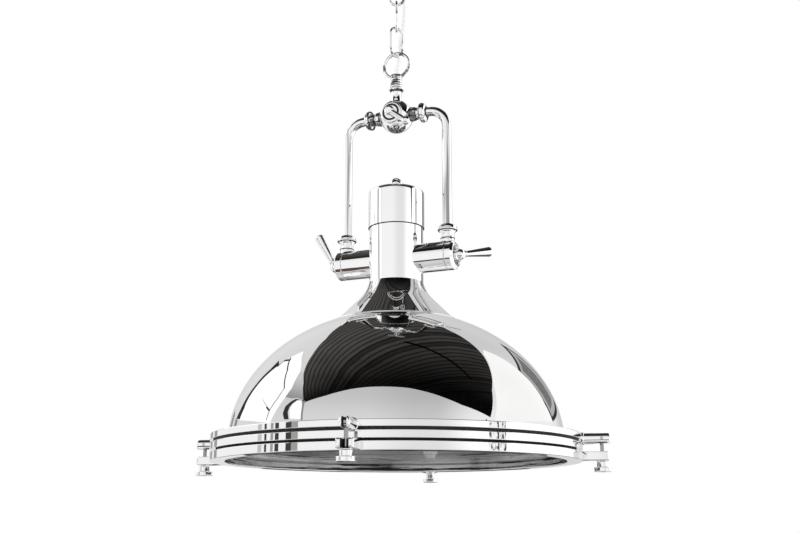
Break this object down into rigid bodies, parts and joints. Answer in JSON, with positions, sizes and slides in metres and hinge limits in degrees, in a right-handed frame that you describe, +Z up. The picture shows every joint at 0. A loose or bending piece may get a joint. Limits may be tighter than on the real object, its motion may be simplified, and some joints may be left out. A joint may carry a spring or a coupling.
{
  "type": "pendant_lamp",
  "caption": "Mirror-chromed dome pendant lamp hung on a chain, with a tilting tubular yoke, flared neck and a clamped glass door in a banded rim.",
  "frame": {"origin": "on the ceiling at the middle of the fixing strap", "axes": "+Z up, X along the trunnion arms and the fixing holes, -Y the side of the hub's flat face and lever"},
  "size_m": [0.542, 0.542, 0.7691],
  "materials": {
    "chrome": "mirror-polished chrome plating",
    "plated_alloy": "mirror-polished plated aluminium castings",
    "plain_steel": "plain zinc-plated steel",
    "clear_plastic": "clear PVC flex",
    "white_plastic": "moulded white plastic",
    "black_rubber": "black moulded rubber",
    "clear_glass": "clear glass",
    "brass": "plain brass",
    "white_ceramic": "white lampholder ceramic"
  },
  "bodies": {
    "base": {"ceiling_strap": "plain_steel", "canopy_cup": "chrome", "canopy_nut": "chrome", "ceiling_eye": "chrome", "eye_nut": "plain_steel", "cable_gland": "white_plastic", "terminal_block": "white_plastic", "cable": "clear_plastic"},
    "upper_link": {"link_top": "chrome"},
    "middle_link": {"link_middle": "chrome"},
    "lower_link": {"link_bottom": "chrome"},
    "loop": {"loop_ring": "chrome", "loop_barrel": "chrome", "loop_collar": "chrome"},
    "yoke": {"hub_ball": "chrome", "hub_stem": "chrome", "hub_face_disc": "chrome", "hub_collars": "chrome", "tube_left": "chrome", "tube_right": "chrome", "leg_collars": "chrome", "sleeves": "chrome", "end_caps": "chrome"},
    "hub_lock": {"hub_lever": "chrome"},
    "left_lock": {"boss_left": "chrome", "handle_left": "chrome"},
    "right_lock": {"boss_right": "chrome", "handle_right": "chrome"},
    "head": {"housing": "chrome", "arms": "chrome", "housing_cap": "chrome", "finial": "chrome", "cap_bridge": "plain_steel", "neck": "chrome", "dome": "chrome", "rim_top": "plated_alloy", "rim_mid": "plated_alloy", "gasket": "black_rubber", "door_ring": "plated_alloy", "glass_pane": "clear_glass", "holder_plate": "plain_steel", "holder_shell": "brass", "holder_insert": "white_ceramic", "bulb_cap": "brass", "bulb_glass": "clear_glass", "clevises": "chrome", "clevis_pins": "plain_steel"},
    "swing_1": {"bolt_1": "chrome"},
    "carrier_1": {"washer_1": "chrome"},
    "thumb_1": {"nut_1": "chrome"},
    "swing_2": {"bolt_2": "chrome"},
    "carrier_2": {"washer_2": "chrome"},
    "thumb_2": {"nut_2": "chrome"},
    "swing_3": {"bolt_3": "chrome"},
    "carrier_3": {"washer_3": "chrome"},
    "thumb_3": {"nut_3": "chrome"},
    "swing_4": {"bolt_4": "chrome"},
    "carrier_4": {"washer_4": "chrome"},
    "thumb_4": {"nut_4": "chrome"}
  },
  "joints": [
    {"name": "upper_link_swing", "type": "hinge", "parent": "base", "child": "upper_link", "pos_m": [0, 0, -0.05925], "axis": [0.3907, -0.9205, 0], "range_deg": [-25, 25], "deforming": ["cable"]},
    {"name": "middle_link_swing", "type": "hinge", "parent": "upper_link", "child": "middle_link", "pos_m": [0, 0, -0.0994], "axis": [0.9205, 0.3907, 0], "range_deg": [-25, 25], "deforming": ["cable"]},
    {"name": "lower_link_swing", "type": "hinge", "parent": "middle_link", "child": "lower_link", "pos_m": [0, 0, -0.14], "axis": [0.3907, -0.9205, 0], "range_deg": [-25, 25], "deforming": ["cable"]},
    {"name": "loop_swing", "type": "hinge", "parent": "lower_link", "child": "loop", "pos_m": [0, 0, -0.1806], "axis": [0.5299, 0.848, 0], "range_deg": [-25, 25], "deforming": ["cable"]},
    {"name": "hub_swivel", "type": "hinge", "parent": "loop", "child": "yoke", "pos_m": [0, 0, -0.2734], "axis": [0, 0, 1], "range_deg": [-170, 170]},
    {"name": "hub_lock_turn", "type": "hinge", "parent": "yoke", "child": "hub_lock", "pos_m": [0, -0.018, -0.2734], "axis": [0, 1, 0], "range_deg": [-60, 60]},
    {"name": "head_tilt", "type": "hinge", "parent": "yoke", "child": "head", "pos_m": [0, 0, -0.4839], "axis": [1, 0, 0], "range_deg": [-75, 75]},
    {"name": "left_lock_turn", "type": "hinge", "parent": "yoke", "child": "left_lock", "pos_m": [-0.092, 0, -0.4839], "axis": [1, 0, 0], "range_deg": [-120, 120]},
    {"name": "right_lock_turn", "type": "hinge", "parent": "yoke", "child": "right_lock", "pos_m": [0.092, 0, -0.4839], "axis": [1, 0, 0], "range_deg": [-120, 120]},
    {"name": "swing_1_fold", "type": "hinge", "parent": "head", "child": "swing_1", "pos_m": [0.25879, 0.05218, -0.72764], "axis": [0.1977, -0.9803, 0], "range_deg": [0, 100]},
    {"name": "carrier_1_travel", "type": "slide", "parent": "swing_1", "child": "carrier_1", "axis": [0, 0, -1], "range_m": [0, 0.004]},
    {"name": "thumb_1_turn", "type": "hinge", "parent": "carrier_1", "child": "thumb_1", "pos_m": [0.25879, 0.05218, -0.76314], "axis": [0, 0, -1], "range_deg": [0, 1900]},
    {"name": "swing_2_fold", "type": "hinge", "parent": "head", "child": "swing_2", "pos_m": [-0.05218, 0.25879, -0.72764], "axis": [0.9803, 0.1977, 0], "range_deg": [0, 100]},
    {"name": "carrier_2_travel", "type": "slide", "parent": "swing_2", "child": "carrier_2", "axis": [0, 0, -1], "range_m": [0, 0.004]},
    {"name": "thumb_2_turn", "type": "hinge", "parent": "carrier_2", "child": "thumb_2", "pos_m": [-0.05218, 0.25879, -0.76314], "axis": [0, 0, -1], "range_deg": [0, 1900]},
    {"name": "swing_3_fold", "type": "hinge", "parent": "head", "child": "swing_3", "pos_m": [-0.25879, -0.05218, -0.72764], "axis": [-0.1977, 0.9803, 0], "range_deg": [0, 100]},
    {"name": "carrier_3_travel", "type": "slide", "parent": "swing_3", "child": "carrier_3", "axis": [0, 0, -1], "range_m": [0, 0.004]},
    {"name": "thumb_3_turn", "type": "hinge", "parent": "carrier_3", "child": "thumb_3", "pos_m": [-0.25879, -0.05218, -0.76314], "axis": [0, 0, -1], "range_deg": [0, 1900]},
    {"name": "swing_4_fold", "type": "hinge", "parent": "head", "child": "swing_4", "pos_m": [0.05218, -0.25879, -0.72764], "axis": [-0.9803, -0.1977, 0], "range_deg": [0, 100]},
    {"name": "carrier_4_travel", "type": "slide", "parent": "swing_4", "child": "carrier_4", "axis": [0, 0, -1], "range_m": [0, 0.004]},
    {"name": "thumb_4_turn", "type": "hinge", "parent": "carrier_4", "child": "thumb_4", "pos_m": [0.05218, -0.25879, -0.76314], "axis": [0, 0, -1], "range_deg": [0, 1900]}
  ],
  "couplings": [
    {"joint": "thumb_1_turn", "follows": "carrier_1_travel", "rad_per_m": 7854},
    {"joint": "thumb_2_turn", "follows": "carrier_2_travel", "rad_per_m": 7854},
    {"joint": "thumb_3_turn", "follows": "carrier_3_travel", "rad_per_m": 7854},
    {"joint": "thumb_4_turn", "follows": "carrier_4_travel", "rad_per_m": 7854}
  ]
}
